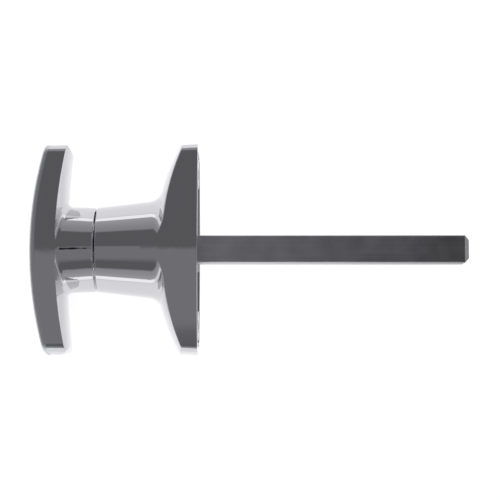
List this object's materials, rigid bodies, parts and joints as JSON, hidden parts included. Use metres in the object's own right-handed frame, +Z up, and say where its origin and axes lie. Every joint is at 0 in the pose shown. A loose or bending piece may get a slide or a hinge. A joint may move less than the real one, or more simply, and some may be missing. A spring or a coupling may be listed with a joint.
{
  "type": "locking t-handle",
  "caption": "Chrome T-handle with a flared rosette, a ribbed grip face, a keyed wafer lock in its centre and a square spindle that goes through a garage door.",
  "frame": {"origin": "centre of the rosette's back face, on the spindle's axis, in the plane of the door", "axes": "+X along the bar, +Y along the spindle into the door, +Z up; the face with the lock looks towards -Y"},
  "size_m": [0.0612, 0.1257, 0.0298],
  "materials": {
    "chrome_casting": "polished chrome plate on a zinc casting",
    "plug_chrome": "satin chrome plate",
    "zinc_steel": "zinc plated steel",
    "bare_steel": "plain bright steel",
    "spring_steel": "oiled spring steel",
    "wafer_brass": "stamped brass"
  },
  "bodies": {
    "rosette": {"rosette": "chrome_casting"},
    "handle": {"handle": "chrome_casting", "spindle": "zinc_steel", "spindle_pin": "bare_steel", "thrust_washer": "bare_steel", "retaining_ring": "spring_steel"},
    "lock_plug": {"lock_plug": "plug_chrome", "retaining_wafer": "wafer_brass", "retaining_wafer_spring": "spring_steel", "wafer_spring_1": "spring_steel", "wafer_spring_2": "spring_steel", "wafer_spring_3": "spring_steel", "wafer_spring_4": "spring_steel", "wafer_spring_5": "spring_steel"},
    "locking_bolt": {"locking_bolt": "bare_steel"},
    "wafer_1": {"wafer_1": "wafer_brass"},
    "wafer_2": {"wafer_2": "wafer_brass"},
    "wafer_3": {"wafer_3": "wafer_brass"},
    "wafer_4": {"wafer_4": "wafer_brass"},
    "wafer_5": {"wafer_5": "wafer_brass"}
  },
  "joints": [
    {"name": "handle_turn", "type": "hinge", "parent": "rosette", "child": "handle", "pos_m": [0, 0, 0], "axis": [0, 1, 0], "range_deg": [-90, 90]},
    {"name": "plug_turn", "type": "hinge", "parent": "handle", "child": "lock_plug", "pos_m": [0, -0.047, 0], "axis": [0, 1, 0], "range_deg": [0, 90]},
    {"name": "bolt_slide", "type": "slide", "parent": "handle", "child": "locking_bolt", "axis": [0, 0, 1], "range_m": [0, 0.00248]},
    {"name": "wafer_1_slide", "type": "slide", "parent": "lock_plug", "child": "wafer_1", "axis": [0, 0, 1], "range_m": [0, 0.0006], "stiffness_N_per_m": 200, "springref_m": 0.001, "deforming": ["wafer_spring_1"]},
    {"name": "wafer_2_slide", "type": "slide", "parent": "lock_plug", "child": "wafer_2", "axis": [0, 0, 1], "range_m": [0, 0.0006], "stiffness_N_per_m": 200, "springref_m": 0.001, "deforming": ["wafer_spring_2"]},
    {"name": "wafer_3_slide", "type": "slide", "parent": "lock_plug", "child": "wafer_3", "axis": [0, 0, 1], "range_m": [0, 0.0006], "stiffness_N_per_m": 200, "springref_m": 0.001, "deforming": ["wafer_spring_3"]},
    {"name": "wafer_4_slide", "type": "slide", "parent": "lock_plug", "child": "wafer_4", "axis": [0, 0, 1], "range_m": [0, 0.0006], "stiffness_N_per_m": 200, "springref_m": 0.001, "deforming": ["wafer_spring_4"]},
    {"name": "wafer_5_slide", "type": "slide", "parent": "lock_plug", "child": "wafer_5", "axis": [0, 0, 1], "range_m": [0, 0.0006], "stiffness_N_per_m": 200, "springref_m": 0.001, "deforming": ["wafer_spring_5"]}
  ],
  "couplings": [
    {"joint": "bolt_slide", "follows": "plug_turn", "m_per_rad": 0.0015752}
  ]
}
